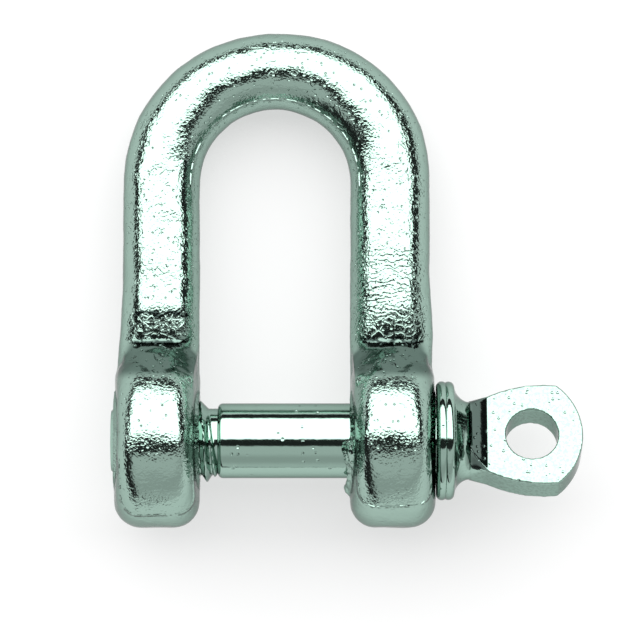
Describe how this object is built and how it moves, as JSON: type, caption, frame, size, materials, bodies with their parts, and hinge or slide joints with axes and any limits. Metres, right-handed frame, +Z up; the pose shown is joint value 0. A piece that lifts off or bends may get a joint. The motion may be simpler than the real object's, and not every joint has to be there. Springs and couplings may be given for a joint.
{
  "type": "chain joining shackle",
  "caption": "Straight D-shaped chain joining shackle: forged, zinc-plated bow with round ears, closed by a screw pin with rimmed collar and flat eye.",
  "frame": {"origin": "on the pin's axis, in the middle of the jaw", "axes": "+X along the pin towards its eye, +Y towards the crown, +Z up; the shackle lies at rest on both ears and the crown"},
  "size_m": [0.0629, 0.0665, 0.0232],
  "materials": {
    "forged_zinc": "bright zinc plating over a dimpled forging skin",
    "pin_zinc": "bright zinc plating on a smooth turned and pressed surface with a few pits"
  },
  "bodies": {
    "bow": {"bow": "forged_zinc"},
    "pin": {"screw_pin": "pin_zinc"}
  },
  "joints": [
    {"name": "pin_withdraw", "type": "slide", "parent": "bow", "child": "pin", "axis": [1, 0, 0], "range_m": [0, 0.046]}
  ]
}
